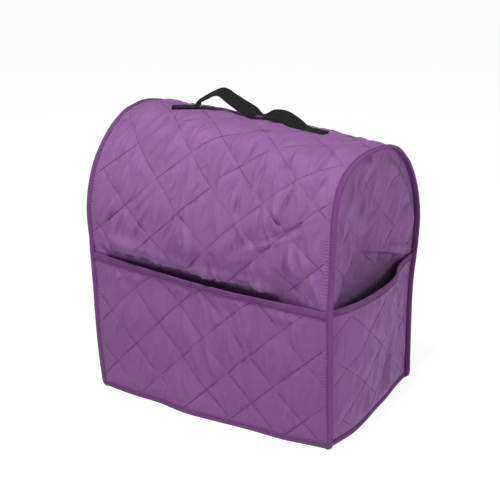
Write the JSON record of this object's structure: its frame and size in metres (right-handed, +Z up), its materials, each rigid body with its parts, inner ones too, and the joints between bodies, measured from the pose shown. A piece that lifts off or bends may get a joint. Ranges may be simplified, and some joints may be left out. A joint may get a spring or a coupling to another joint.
{
  "type": "stand mixer cover",
  "caption": "Quilted cloth cover for a kitchen stand mixer, arched at the sides, with a front pocket, a side pocket, bound seams and a webbing carry strap on top.",
  "frame": {"origin": "middle of the whole cover's box, on the surface that its hem stands on", "axes": "+Z up, +X to the side with the side pocket, -Y to the side with the front pocket"},
  "size_m": [0.3908, 0.2877, 0.4258],
  "materials": {
    "quilted_cloth": "soft sheen",
    "twill_tape": "matte",
    "black_webbing": "matte"
  },
  "bodies": {
    "root": {"main_panel": "quilted_cloth", "side_panel_right": "quilted_cloth", "side_panel_left": "quilted_cloth", "front_pocket": "quilted_cloth", "side_pocket": "quilted_cloth", "seam_binding_right": "twill_tape", "seam_binding_left": "twill_tape", "front_pocket_binding": "twill_tape", "side_pocket_binding": "twill_tape", "hem_binding_front": "twill_tape", "hem_binding_back": "twill_tape", "hem_binding_right": "twill_tape", "hem_binding_left": "twill_tape", "carry_strap": "black_webbing"}
  },
  "joints": []
}
